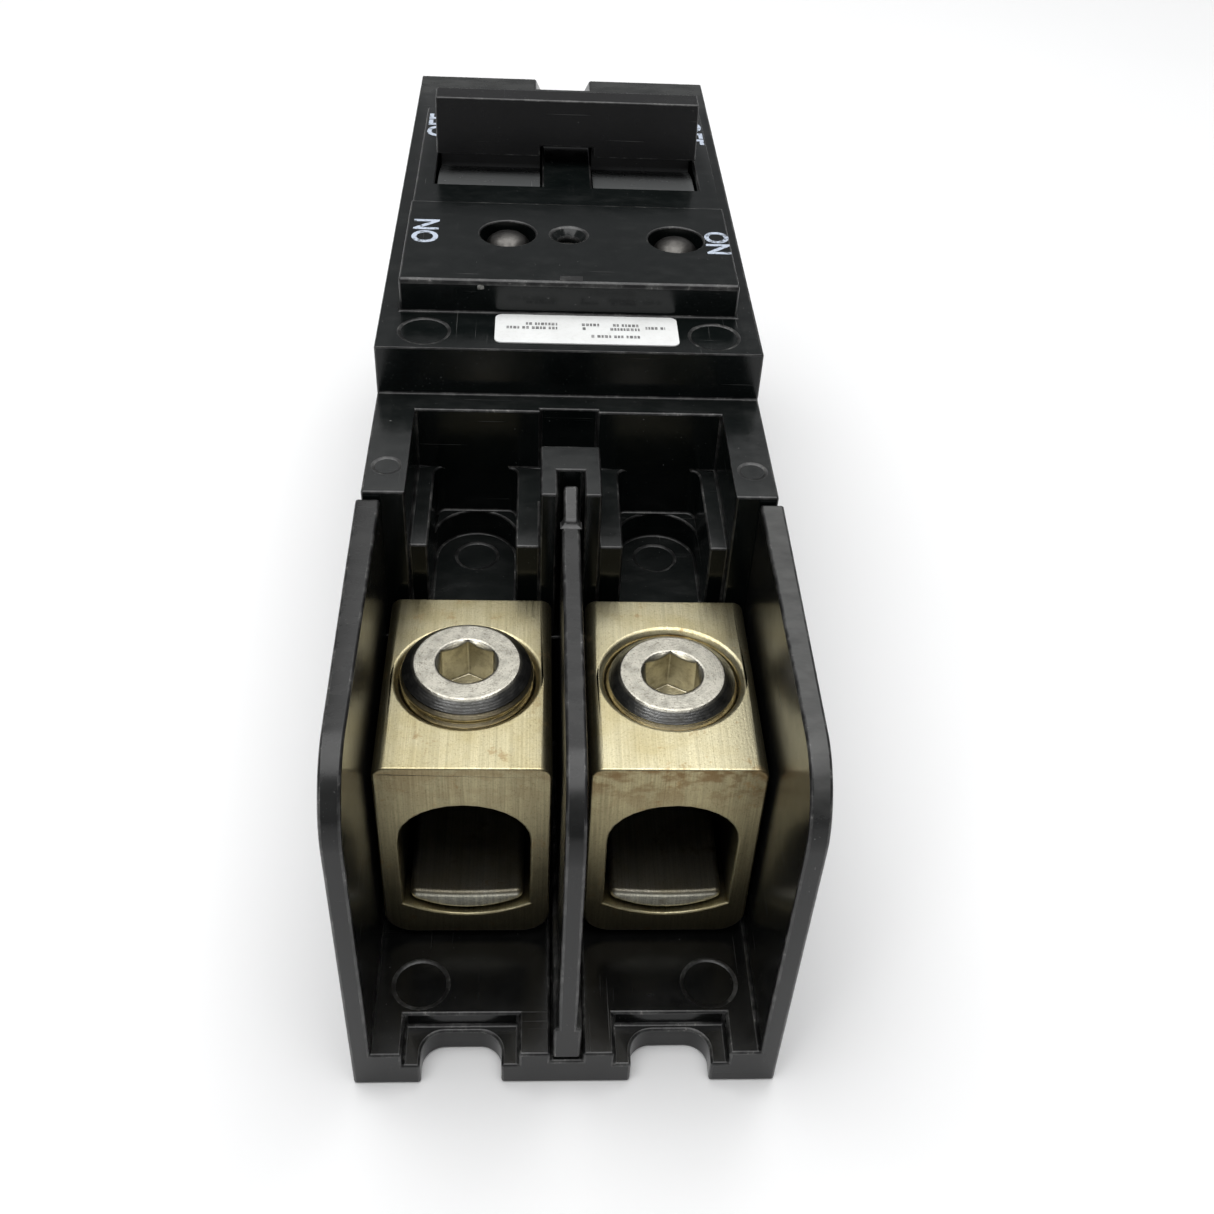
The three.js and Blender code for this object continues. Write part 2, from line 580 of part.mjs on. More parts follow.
// Shallower section of the bar over the rib between the two slots.
function bridgeOutline() {
  return outline([
    between(polar(GRIP.foot, GRIP.neck[1]), GRIP.farTop, GRIP.bridge),
    between(polar(GRIP.foot, GRIP.footAngle), GRIP.nearTop, GRIP.bridge),
    GRIP.nearTop,
    GRIP.farTop,
  ]);
}

function neckOutline() {
  const from = SHIELD.inner + 1;
  const to = GRIP.foot + 1;
  return outline([
    polar(from, GRIP.neck[0]),
    polar(to, GRIP.neck[0]),
    polar(to, GRIP.neck[1]),
    polar(from, GRIP.neck[1]),
  ]);
}

function makeHandle() {
  const shield = outline([
    ...arcPoints(SHIELD.outer, SHIELD.from, SHIELD.to, 16),
    ...arcPoints(SHIELD.inner, SHIELD.to, SHIELD.from, 16),
  ]);
  const webTop = arcPoints(SHIELD.inner + 1, ...WEB.top, 5);
  const web = outline([polar(WEB.r, WEB.from), ...webTop, polar(WEB.r, WEB.to)]);
  let handle = across(bridgeOutline(), -HANDLE.barEnd, HANDLE.barEnd);
  for (const [, side] of SIDES) {
    const span = outward(side, HANDLE.inner, HANDLE.outer);
    const arm = outward(side, HANDLE.armInner, HANDLE.outer);
    handle = joined(
      handle,
      across(barOutline(), ...outward(side, HANDLE.inner, HANDLE.barEnd)),
      across(neckOutline(), ...span),
      across(shield, ...span),
      across(web, ...arm),
      rod(HANDLE.hubR, ...arm, PIVOT.y, PIVOT.z),
    );
  }
  return cut(handle, rod(PIN.r + RUNNING, -HALF, HALF, PIVOT.y, PIVOT.z));
}

function makeHandlePin() {
  const reach = HALF - PIN.wallLeft - GAP;
  return rod(PIN.r, -reach, reach, PIVOT.y, PIVOT.z);
}

// ---- contacts -----------------------------------------------------------------------------
function liftOpen(solid) {
  return solid.translate([0, -BAR.y, -BAR.z]).rotate([OPEN_ANGLE, 0, 0]).translate([0, BAR.y, BAR.z]);
}

function armOutline(grow) {
  const low = BAR.z - ARM.below - grow;
  const high = BAR.z + ARM.above + grow;
  return outline([
    [ARM.tail - grow, low],
    [BAR.y + ARM.bend, low],
    [CONTACT.y - 5, low - ARM.drop],
    [ARM.tip, low - ARM.drop],
    [ARM.tip, BAR.z + ARM.tipAbove - ARM.drop],
    [BAR.y + ARM.bend, high],
    [ARM.tail - grow, high],
  ]);
}

function makeCrossbar() {
  const journals = rod(BAR.journalR, -BAR.journalReach, BAR.journalReach, BAR.y, BAR.z, 24);
  const shaft = joined(rod(BAR.r, -BAR.reach, BAR.reach, BAR.y, BAR.z), journals);
  const seats = SIDES.map(([, side]) => across(armOutline(GAP), ...aboutPole(side, ARM.half + GAP)));
  return cut(shaft, ...seats.map(liftOpen));
}

function makeContactArm(side) {
  return liftOpen(across(armOutline(0), ...aboutPole(side, ARM.half)));
}

function makeMovingContact(side) {
  const top = BAR.z - ARM.below - ARM.drop - GAP;
  const reach = CONTACT.moving.map((dy) => CONTACT.y + dy);
  return liftOpen(box(...aboutPole(side, CONTACT.movingHalf), ...reach, top - CONTACT.thick, top));
}

function makeFixedContact(side) {
  const reach = CONTACT.fixed.map((dy) => CONTACT.y + dy);
  return box(...aboutPole(side, CONTACT.fixedHalf), ...reach, LINE.z[1] + GAP, CONTACT.fixedTop);
}

// Two fibre cheeks joined by forked arc plates.
function makeArcChute(side) {
  const x = side * POLE;
  const cheeks = [x - CHUTE.half, x + CHUTE.half].map((cx) =>
    box(cx - CHUTE.cheek, cx + CHUTE.cheek, ...CHUTE.y, ...CHUTE.z));
  const throat = box(...aboutPole(side, CHUTE_THROAT.half), CHUTE.y[0], CHUTE_THROAT.back, ...CHUTE.z);
  const plates = [];
  for (let i = 0; i < CHUTE.plates; i += 1) {
    const z = CHUTE.firstZ + i * CHUTE.pitch;
    const plate = box(...aboutPole(side, CHUTE.half), CHUTE.y[0] + 1, CHUTE.y[1] - 1, z, z + CHUTE.plate);
    plates.push(cut(plate, throat));
  }
  return joined(...cheeks, ...plates);
}

function makeBraid(side) {
  const centre = new THREE.CubicBezierCurve(...BRAID.path.map(([y, z]) => new THREE.Vector2(y, z)));
  const upper = [];
  const lower = [];
  const steps = 10;
  for (let i = 0; i <= steps; i += 1) {
    const point = centre.getPoint(i / steps);
    const run = centre.getTangent(i / steps).multiplyScalar(BRAID.thick);
    upper.push([point.x - run.y, point.y + run.x]);
    lower.unshift([point.x + run.y, point.y - run.x]);
  }
  return across(outline([...upper, ...lower]), ...aboutPole(side, BRAID.half));
}

// ---- trip unit ----------------------------------------------------------------------------
function makeBimetal(side) {
  return box(...aboutPole(side, BIMETAL.half), ...BIMETAL.y, STRAP.top + GAP, BIMETAL.top);
}

// Steel channel around the bimetal that attracts the armature.
function makeMagnetYoke(side) {
  const x = side * POLE;
  return joined(
    box(x - YOKE.half, x + YOKE.half, YOKE.y[0], YOKE.y[0] + YOKE.web, ...YOKE.z),
    box(x - YOKE.half, x - YOKE.half + YOKE.arm, ...YOKE.y, ...YOKE.z),
    box(x + YOKE.half - YOKE.arm, x + YOKE.half, ...YOKE.y, ...YOKE.z),
  );
}

function makeArmature(side) {
  const span = aboutPole(side, ARMATURE.half);
  const flap = box(...span, ...ARMATURE.y, ...ARMATURE.z);
  return joined(flap, rod(ARMATURE.hingeR, ...span, ARMATURE.hingeY, ARMATURE.z[0], 16));
}

function makeTrimScrew(side) {
  const geometry = new THREE.CylinderGeometry(TRIM.r, TRIM.r, TRIM.length, 16);
  return toSolid(geometry.translate(side * POLE, BIMETAL.y[1] + GAP + TRIM.length / 2, TRIM.z));
}

function makeTripBar() {
  const parts = [rod(TRIP.r, -TRIP.reach, TRIP.reach, TRIP.y, TRIP.z, 20)];
  for (const [, side] of SIDES) {
    const catchX = [side * CRADLE.x - TRIP_CATCH.half, side * CRADLE.x + TRIP_CATCH.half];
    parts.push(box(...aboutPole(side, TRIP_PADDLE.half), ...TRIP_PADDLE.y, TRIP_PADDLE.bottom, TRIP.z));
    parts.push(box(...catchX, ...TRIP_CATCH.y, ...TRIP_CATCH.z));
  }
  return joined(...parts);
}

function makeCradle(side) {
  const plate = across(outline(CRADLE_PROFILE), side * CRADLE.x - CRADLE.half, side * CRADLE.x + CRADLE.half);
  return cut(plate, rod(CRADLE.bore, -HALF, HALF, CRADLE.y, CRADLE.z, 20));
}

function makeCradlePin(side) {
  return rod(CRADLE.pin, ...outward(side, MID_WALL + GAP, HALF - WALL - GAP), CRADLE.y, CRADLE.z, 20);
}

class Helix extends THREE.Curve {
  constructor(x, y, [z0, z1], radius, turns) {
    super();
    Object.assign(this, { x, y, z0, z1, radius, turns });
  }

  getPoint(t, target = new THREE.Vector3()) {
    const a = t * this.turns * Math.PI * 2;
    const z = this.z0 + (this.z1 - this.z0) * t;
    return target.set(this.x + this.radius * Math.cos(a), this.y + this.radius * Math.sin(a), z);
  }
}

// Extension spring between the handle and the toggle.
function makeMainSpring(side) {
  const wire = new THREE.Shape();
  wire.absarc(0, 0, SPRING.wire, 0, Math.PI * 2);
  const extrudePath = new Helix(side * POLE, SPRING.y, SPRING.z, SPRING.r, SPRING.turns);
  const options = { steps: SPRING.turns * 10, extrudePath, curveSegments: 3, bevelEnabled: false };
  return toSolid(new THREE.ExtrudeGeometry(wire, options));
}

// ---- assembly -----------------------------------------------------------------------------
const breaker = new THREE.Group();
breaker.position.y = -LENGTH / 2;

breaker.add(
  piece("base_housing", makeBase(), MOULD),
  piece("cover", makeCover(), MOULD),
  piece("centre_barrier", makeCentreBarrier(), MOULD),
  piece("handle", makeHandle(), MOULD),
  piece("handle_pin", makeHandlePin(), METAL),
  piece("deck_screw", makeDeckScrew(), METAL),
  piece("rating_label", makeLabel(), PAPER),
  piece("crossbar", makeCrossbar(), MOULD),
  piece("trip_bar", makeTripBar(), MOULD),
);

for (const [name, side] of SIDES) {
  breaker.add(
    piece(`lug_${name}`, makeLug(side), PLATED),
    piece(`set_screw_${name}`, makeSetScrew(name, side), METAL),
    piece(`load_strap_${name}`, makeLoadStrap(side), PLATED),
    piece(`line_strap_${name}`, makeLineStrap(side), COPPER),
    piece(`deck_rivet_${name}`, makeRivet(RECESSES[side < 0 ? 0 : 1]), METAL),
    piece(`contact_arm_${name}`, makeContactArm(side), COPPER),
    piece(`moving_contact_${name}`, makeMovingContact(side), SILVER),
    piece(`fixed_contact_${name}`, makeFixedContact(side), SILVER),
    piece(`arc_chute_${name}`, makeArcChute(side), FIBRE),
    piece(`braid_${name}`, makeBraid(side), COPPER),
    piece(`bimetal_${name}`, makeBimetal(side), METAL),
    piece(`magnet_yoke_${name}`, makeMagnetYoke(side), METAL),
    piece(`armature_${name}`, makeArmature(side), METAL),
    piece(`trim_screw_${name}`, makeTrimScrew(side), METAL),
    piece(`cradle_${name}`, makeCradle(side), METAL),
    piece(`cradle_pin_${name}`, makeCradlePin(side), METAL),
    piece(`main_spring_${name}`, makeMainSpring(side), METAL),
  );
}

export default breaker;
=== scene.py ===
"""Looks of a two-pole molded case circuit breaker. Metres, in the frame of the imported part."""

import math
import random

import bpy
from mathutils import Matrix, Vector


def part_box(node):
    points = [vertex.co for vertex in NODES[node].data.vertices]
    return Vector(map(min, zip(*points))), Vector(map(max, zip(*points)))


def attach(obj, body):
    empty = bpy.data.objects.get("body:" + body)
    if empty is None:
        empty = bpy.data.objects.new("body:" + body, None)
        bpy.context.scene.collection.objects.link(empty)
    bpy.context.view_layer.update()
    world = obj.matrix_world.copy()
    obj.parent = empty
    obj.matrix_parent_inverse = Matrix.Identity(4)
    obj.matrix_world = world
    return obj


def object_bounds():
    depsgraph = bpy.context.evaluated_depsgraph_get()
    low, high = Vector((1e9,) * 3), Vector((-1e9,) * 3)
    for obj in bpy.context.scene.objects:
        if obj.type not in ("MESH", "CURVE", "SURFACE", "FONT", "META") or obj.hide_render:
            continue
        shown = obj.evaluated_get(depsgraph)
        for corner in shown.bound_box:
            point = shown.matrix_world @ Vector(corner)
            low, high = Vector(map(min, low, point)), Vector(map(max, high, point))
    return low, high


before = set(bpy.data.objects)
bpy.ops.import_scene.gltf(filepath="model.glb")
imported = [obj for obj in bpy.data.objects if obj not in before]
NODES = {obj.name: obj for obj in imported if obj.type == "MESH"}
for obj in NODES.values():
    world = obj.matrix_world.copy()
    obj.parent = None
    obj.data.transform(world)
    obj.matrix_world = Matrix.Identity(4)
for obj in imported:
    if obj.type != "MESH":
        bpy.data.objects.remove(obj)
cad_low, cad_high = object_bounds()
MM = 0.001
SIDES = ("left", "right")
HALF_LENGTH = (cad_high[1] - cad_low[1]) / 2
PIVOT = [(a + b) / 2 for a, b in zip(*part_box("handle_pin"))]


def from_lug_end(y):
    """Y in the part's frame of a point y millimetres from the lug end."""
    return y * MM - HALF_LENGTH


# ---- node building ------------------------------------------------------------------------
class Tree:
    """A material under construction. Pattern sizes are in millimetres."""

    def __init__(self, name):
        self.material = bpy.data.materials.new(name)
        self.material.use_nodes = True
        self.nodes = self.material.node_tree.nodes
        self.links = self.material.node_tree.links
        self.nodes.clear()
        self.shader = self.nodes.new("ShaderNodeBsdfPrincipled")
        output = self.nodes.new("ShaderNodeOutputMaterial")
        self.links.new(self.shader.outputs["BSDF"], output.inputs["Surface"])
        self.place = self.nodes.new("ShaderNodeTexCoord").outputs["Object"]

    def put(self, socket, value):
        """Links a socket to another one, or gives it a number or a colour."""
        if isinstance(value, bpy.types.NodeSocket):
            self.links.new(value, socket)
        elif hasattr(value, "__len__") and len(value) == 3 and socket.type == "RGBA":
            socket.default_value = (*value, 1)
        else:
            socket.default_value = value

    def set(self, **values):
        """Sets the shader's inputs; an underscore in a keyword stands for a space."""
        for key, value in values.items():
            self.put(self.shader.inputs[key.replace("_", " ")], value)

    def stretched(self, x, y, z, shift=0.0):
        """Place with a pattern's size along each axis, moved by a shift."""
        node = self.nodes.new("ShaderNodeMapping")
        self.links.new(self.place, node.inputs["Vector"])
        node.inputs["Scale"].default_value = (1 / x, 1 / y, 1 / z)
        node.inputs["Location"].default_value = (shift, shift, shift)
        return node.outputs["Vector"]

    def shifted(self, shift):
        return self.stretched(1, 1, 1, shift)

    def axes(self, vector=None):
        """X, Y and Z sockets of a vector, or of the place."""
        split = self.nodes.new("ShaderNodeSeparateXYZ")
        self.links.new(vector or self.place, split.inputs[0])
        return split.outputs

    def noise(self, size, detail, rough, place=None):
        node = self.nodes.new("ShaderNodeTexNoise")
        self.links.new(place or self.place, node.inputs["Vector"])
        node.inputs["Scale"].default_value = 1 / (size * MM)
        node.inputs["Detail"].default_value = detail
        node.inputs["Roughness"].default_value = rough
        return node.outputs["Fac"]

    def span(self, value, low, high, to_low=0.0, to_high=1.0):
        """Maps low..high to to_low..to_high, clamped at both ends."""
        node = self.nodes.new("ShaderNodeMapRange")
        self.put(node.inputs["Value"], value)
        ends = zip(("From Min", "From Max", "To Min", "To Max"), (low, high, to_low, to_high))
        for key, number in ends:
            node.inputs[key].default_value = number
        return node.outputs["Result"]

    def maths(self, operation, first, second=0.0):
        node = self.nodes.new("ShaderNodeMath")
        node.operation = operation
        self.put(node.inputs[0], first)
        self.put(node.inputs[1], second)
        return node.outputs[0]

    def plus(self, first, second):
        return self.maths("ADD", first, second)

    def times(self, first, second):
        return self.maths("MULTIPLY", first, second)

    def mix(self, factor, first, second):
        node = self.nodes.new("ShaderNodeMix")
        node.data_type = "RGBA"
        first_colour, second_colour = node.inputs[6], node.inputs[7]
        self.put(node.inputs["Factor"], factor)
        self.put(first_colour, first)
        self.put(second_colour, second)
        return node.outputs[2]

    def radius(self, centre, plane):
        """Distance from a centre, measured in the plane of two axes."""
        place = self.axes()
        offsets = [self.maths("SUBTRACT", place[axis], centre[axis]) for axis in plane]
        return self.maths("SQRT", self.plus(*(self.times(part, part) for part in offsets)))

    def facing(self):
        """X, Y and Z sockets of the surface's normal."""
        return self.axes(self.nodes.new("ShaderNodeNewGeometry").outputs["Normal"])

    def bump(self, height, depth, normal=None):
        """Bump of the given depth in millimetres."""
        node = self.nodes.new("ShaderNodeBump")
        node.inputs["Strength"].default_value = 1.0
        node.inputs["Distance"].default_value = depth * MM
        self.put(node.inputs["Height"], height)
        if normal is not None:
            self.links.new(normal, node.inputs["Normal"])
        return node.outputs["Normal"]


def shade(colour, factor):
    """The colour with each part multiplied by a factor."""
    return [part * factor for part in colour]


# ---- black mouldings ----------------------------------------------------------------------
DUST_GREY = (0.3, 0.3, 0.29)
POWDER_GREY = (0.5, 0.5, 0.48)
# Painted light: the shield's upturned face is painted paler than the bar.
SHIELD_PAINTED_LIGHT = (0.085, 0.088, 0.088)
CHIP_GREY = (0.35, 0.34, 0.32)
HAZE_SHARE = 0.025
SCRATCH_SHARE = 0.14
POWDER_SHARE = 0.5
RESIN_IOR = 1.48
UPWARD = (0.3, 0.9)                # Z of a normal, from steep to nearly level
SCRATCH_WIDTH, SCRATCH_LENGTH = 0.3, 22.0      # millimetres
DECK_FAR_END = (0.084, 0.1)        # the ranges below are metres in which a mask rises or falls
DECK_SIDES = (0.0287, 0.0292)
WELL_TOPS = (0.0665, 0.068)
BARRIER_TOPS = (0.045, 0.062)
CASE_RIGHT_HALF = (0.0, 0.03)
SHIELD_RADIUS = (0.0404, 0.0412)


def scratches(tree, along, shift):
    """Thin scattered lines that run roughly along one axis."""
    sizes = [SCRATCH_WIDTH] * 3
    sizes[along] = SCRATCH_LENGTH
    lines = tree.noise(1, 1.0, 0.5, tree.stretched(*sizes, shift=shift))
    patches = tree.noise(11, 2.0, 0.5, tree.shifted(shift))
    return tree.times(tree.span(lines, 0.73, 0.77), tree.span(patches, 0.5, 0.62))


def rim_dust(tree, smears):
    """Dust in the terminal wells, at the far end of the deck and along its open sides."""
    x, y, z = tree.axes()
    far = tree.span(y, *DECK_FAR_END, 0.0, 0.12)
    sides = tree.span(tree.maths("ABSOLUTE", x), *DECK_SIDES, 0.0, 0.012)
    wells = tree.span(z, *WELL_TOPS, 0.025, 0.0)
    gathered = tree.plus(wells, tree.plus(far, sides))
    return tree.times(gathered, tree.span(smears, 0.3, 0.6, 0.4, 1.0))


def brink_dust(tree, smears):
    """Rubbed and dusty tops of the side barriers, stronger on the right one."""
    place = tree.axes()
    tops = tree.span(place["Z"], *BARRIER_TOPS)
    amount = tree.span(place["X"], *CASE_RIGHT_HALF, 0.06, 0.24)
    return tree.times(tree.times(tops, amount), tree.span(smears, 0.3, 0.6, 0.5, 1.0))


def lit_shield_mask(tree):
    """One on the curved shield under the grip, which is dull and painted paler than the bar:
    painted light for its upturned face, which catches more light.
    """
    return tree.span(tree.radius(PIVOT, (1, 2)), *SHIELD_RADIUS, 1.0, 0.0)


def moulded(name, dark, light, gloss, specular=0.5, shield=False, gathered=None):
    """Thermoset with soft mottling, fine grain, dust on the upper faces and a few scratches.

    gathered, when given, makes a further dust mask from the tree and its smears.
    """
    tree = Tree(name)
    up = tree.span(tree.facing()["Z"], *UPWARD)
    mottling = tree.span(tree.noise(12, 4.0, 0.6), 0.35, 0.7)
    colour = tree.mix(mottling, dark, light)
    # The shield gets painted light, a paler colour for its upturned, lit face.
    if shield:
        colour = tree.mix(lit_shield_mask(tree), colour, SHIELD_PAINTED_LIGHT)
    smears = tree.noise(1, 4.0, 0.65, tree.stretched(7, 3.2, 5, shift=1.3))
    haze = tree.times(tree.times(tree.span(smears, 0.5, 0.8), up), HAZE_SHARE)
    if gathered:
        haze = tree.plus(haze, tree.times(gathered(tree, smears), up))
    lines = tree.maths("MAXIMUM", scratches(tree, 0, 1.7), scratches(tree, 1, 5.2))
    dulled = tree.maths("MAXIMUM", tree.times(lines, SCRATCH_SHARE), haze)
    colour = tree.mix(dulled, colour, DUST_GREY)
    specks = tree.span(tree.noise(0.38, 2.0, 0.5), 0.745, 0.775)
    patches = tree.span(tree.noise(8, 2.0, 0.5, tree.shifted(3.1)), 0.45, 0.68)
    powder = tree.times(tree.times(specks, patches), POWDER_SHARE)
    colour = tree.mix(powder, colour, POWDER_GREY)
    rough = tree.span(tree.noise(3, 5.0, 0.65), 0.3, 0.7, gloss - 0.03, gloss + 0.04)
    rough = tree.plus(rough, tree.times(tree.plus(powder, lines), 0.2))
    rough = tree.plus(rough, tree.times(haze, 1.2))
    grain = tree.bump(tree.noise(0.25, 3.0, 0.6), 0.005)
    waves = tree.bump(tree.noise(7, 2.0, 0.5), 0.015, grain)
    tree.set(Base_Color=colour, Roughness=rough, Normal=waves)
    tree.set(IOR=RESIN_IOR, Specular_IOR_Level=specular)
    return tree.material


def edge_wear_and_highlight(name, dark, light):
    """Rubbed corners of the moulding, paler where the wear broke through the skin; the pale
    colour is also a painted highlight along the rounded edges.
    """
    tree = Tree(name)
    wear = tree.span(tree.noise(3.4, 4.0, 0.7), 0.46, 0.68)
    chips = tree.span(tree.noise(0.5, 2.0, 0.6), 0.58, 0.7)
    # Pale edges: partly wear, partly a painted highlight.
    colour = tree.mix(wear, dark, light)
    colour = tree.mix(tree.times(tree.times(chips, wear), 0.5), colour, CHIP_GREY)
    tree.set(Base_Color=colour, Roughness=tree.span(chips, 0, 1, 0.3, 0.5))
    tree.set(Normal=tree.bump(tree.noise(0.4, 2.0, 0.6), 0.02))
    return tree.material


# ---- plated lugs and straps ---------------------------------------------------------------
WARM_TARNISH = (0.62, 0.55, 0.36)  # share of each part of the base colour that is left
LOW_END_DARK = (0.07, 0.062, 0.04)
DRIP_BROWN = (0.17, 0.1, 0.04)
# Painted shade for the shadowed inside of the wire opening.
BORE_PAINTED_SHADE = (0.03, 0.026, 0.016)
BORE_SHADE_SHARE = 0.93
LOW_END_SHARE = 0.6
LENGTHWISE = (0.75, 0.95)          # Y of a normal, from slanting to square
LOW_END_DEPTH = 0.007                # the darkening fades out this far below the lug's top
DRIP_DEPTHS = (0.010, 0.001)       # below the lug's top: where drips end, and where they are full
BORE_HALF_WIDTH = (0.0100, 0.0102)
BORE_DEPTHS = (0.0078, 0.0076)     # top of the wire opening, below the lug's top
BORE_MOUTH = (0.0005, 0.006)       # behind the lug's front face
BORE_FOOT = (0.0100, 0.0102)


def cut_face(tree):
    """One on the cut faces that look along Y."""
    return tree.span(tree.maths("ABSOLUTE", tree.facing()["Y"]), *LENGTHWISE)


def bore_shade_mask(tree, low, high):
    """One on the walls of the wire opening, which get a dull dark colour as painted shade for its
    shadowed inside.
    """
    x, y, z = tree.axes()
    from_middle = tree.maths("ABSOLUTE", tree.maths("SUBTRACT", x, (low[0] + high[0]) / 2))
    within = tree.span(from_middle, *BORE_HALF_WIDTH, 1.0, 0.0)
    below = tree.span(z, *(high[2] - depth for depth in BORE_DEPTHS), 1.0, 0.0)
    behind = tree.span(y, *(low[1] + depth for depth in BORE_MOUTH))
    inside = tree.times(tree.times(within, below), behind)
    return tree.times(inside, tree.span(z, *BORE_FOOT))


def drip_mask(tree, top, shift):
    """Blotches that hang from the top edge of a sawn face."""
    blotches = tree.noise(1, 3.0, 0.55, tree.stretched(3.5, 3.5, 2.4, shift=shift + 0.9))
    hang = tree.span(tree.axes()["Z"], *(top - depth for depth in DRIP_DEPTHS))
    return tree.times(tree.span(blotches, 0.42, 0.56), hang)


def dripped_and_darkened(tree, colour, ends, lug, shift, drips):
    """A lug's colour, darker low on its cut faces, with drips from their top and painted shade in
    the bore.
    """
    low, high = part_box(lug)
    # Darker towards the bottom of the cut faces.
    low_darkening = tree.span(tree.axes()["Z"], low[2], high[2] - LOW_END_DEPTH, LOW_END_SHARE, 0.0)
    colour = tree.mix(tree.times(ends, low_darkening), colour, LOW_END_DARK)
    stained = tree.times(drip_mask(tree, high[2], shift), drips)
    colour = tree.mix(tree.times(ends, stained), colour, DRIP_BROWN)
    # Painted shade on the walls of the wire opening.
    return tree.mix(tree.times(bore_shade_mask(tree, low, high), BORE_SHADE_SHARE), colour, BORE_PAINTED_SHADE)


def plated(name, base, end_tone, stain, shift, rough=0.32, lug=None, drips=0.35):
    """Yellowish plating on drawn metal: die lines along Y, stains, and a separate colour on the
    cut ends that look along Y, darker on the lugs as painted shade for their dimly lit front
    faces.
    """
    tree = Tree(name)
    drawn = tree.noise(1, 3.0, 0.6, tree.stretched(0.16, 60, 0.16, shift=shift))
    streaks = tree.noise(1, 2.0, 0.6, tree.stretched(0.9, 30, 0.9, shift=shift))
    saw = tree.noise(1, 3.0, 0.6, tree.stretched(0.35, 0.2, 12, shift=shift))
    freckles = tree.span(tree.noise(0.3, 3.0, 0.6), 0.52, 0.72)
    clouds = tree.span(tree.noise(8, 4.0, 0.6, tree.shifted(shift)), 0.42, 0.66)
    blots = tree.span(tree.noise(4.0, 5.0, 0.7, tree.shifted(shift + 2.3)), 0.6, 0.67)
    ends = cut_face(tree)
    along = tree.mix(tree.span(drawn, 0.3, 0.7), base, shade(base, 0.75))
    streaked = tree.times(tree.span(streaks, 0.5, 0.72), 0.5)
    along = tree.mix(streaked, along, shade(base, 0.6))
    # The cut ends take their own colour; on the lugs it is darker, painted shade.
    across = tree.mix(tree.span(saw, 0.3, 0.7), end_tone, shade(end_tone, 0.6))
    colour = tree.mix(ends, along, across)
    warm = [part * left for part, left in zip(base, WARM_TARNISH)]
    tarnish = tree.mix(ends, warm, shade(end_tone, 0.65))
    colour = tree.mix(tree.times(clouds, 0.45), colour, tarnish)
    colour = tree.mix(tree.times(freckles, 0.35), colour, shade(stain, 0.35))
    colour = tree.mix(tree.times(blots, 0.5), colour, stain)
    if lug:
        colour = dripped_and_darkened(tree, colour, ends, lug, shift, drips)
    shine = tree.span(drawn, 0.3, 0.7, rough - 0.05, rough + 0.1)
    shine = tree.plus(shine, tree.times(blots, 0.12))
    pits = tree.bump(tree.noise(0.45, 3.0, 0.6), 0.02, tree.bump(drawn, 0.012))
    tree.set(Base_Color=colour, Roughness=shine, Normal=pits, Metallic=1.0)
    return tree.material


# ---- turned and plain metals, board, print ------------------------------------------------
TURNING_SCALE = 900                # of the wave texture whose rings are the turning marks
PIT_BROWN = (0.12, 0.1, 0.075)
SOCKET_WALL_REFLECTION = ((0.68, 0.64, 0.5), (0.42, 0.38, 0.27))          # painted reflection on the hex socket's facets, fresh and worn
SHOULDER = ((0.19, 0.19, 0.185), (0.1, 0.098, 0.09))
THREAD = ((0.62, 0.54, 0.36), (0.3, 0.25, 0.16))
SHOULDER_RADIUS = (0.0055, 0.006)
TOP_DEPTHS = (0.0004, 0.00015)     # below the screw's top face
THREAD_DEPTHS = (0.0019, 0.0016)
SCREW_ROUGHNESS = (0.29, 0.46)     # fresh and worn


def turned_steel(name, base, low, high):
    """Turned metal ringed about the upright middle of a box.

    Below its top face the socket's walls are painted pale, a painted reflection on the hex
    facets; the shoulder is dark and the thread brassy.
    """
    centre = (Vector(low) + Vector(high)) / 2
    tree = Tree(name)
    centred = tree.nodes.new("ShaderNodeMapping")
    tree.links.new(tree.place, centred.inputs["Vector"])
    centred.inputs["Location"].default_value = (-centre.x, -centre.y, 0)
    rings = tree.nodes.new("ShaderNodeTexWave")
    rings.wave_type = "RINGS"
    rings.rings_direction = "Z"
    tree.links.new(centred.outputs["Vector"], rings.inputs["Vector"])
    rings.inputs["Scale"].default_value = TURNING_SCALE
    rings.inputs["Distortion"].default_value = 2.5
    rings.inputs["Detail"].default_value = 2
    wear = tree.span(tree.noise(1.8, 4.0, 0.65, tree.shifted(centre.x)), 0.42, 0.7)
    pits = tree.span(tree.noise(0.3, 2.0, 0.6), 0.54, 0.7)
    colour = tree.mix(wear, base, shade(base, 0.6))
    colour = tree.mix(tree.times(pits, 0.6), colour, PIT_BROWN)
    height = tree.axes()["Z"]
    outer = tree.span(tree.radius(centre, (0, 1)), *SHOULDER_RADIUS)
    below = tree.span(height, *(high[2] - depth for depth in TOP_DEPTHS), 1.0, 0.0)
    # Pale socket walls: a painted reflection.
    walls = tree.mix(outer, tree.mix(wear, *SOCKET_WALL_REFLECTION), tree.mix(wear, *SHOULDER))
    colour = tree.mix(below, colour, walls)
    threaded = tree.span(height, *(high[2] - depth for depth in THREAD_DEPTHS), 1.0, 0.0)
    colour = tree.mix(tree.times(threaded, outer), colour, tree.mix(wear, *THREAD))
    turned = tree.bump(rings.outputs["Fac"], 0.006)
    tree.set(Base_Color=colour, Roughness=tree.span(wear, 0, 1, *SCREW_ROUGHNESS), Metallic=1.0)
    tree.set(Normal=tree.bump(tree.noise(0.4, 3.0, 0.6), 0.03, turned))
    return tree.material


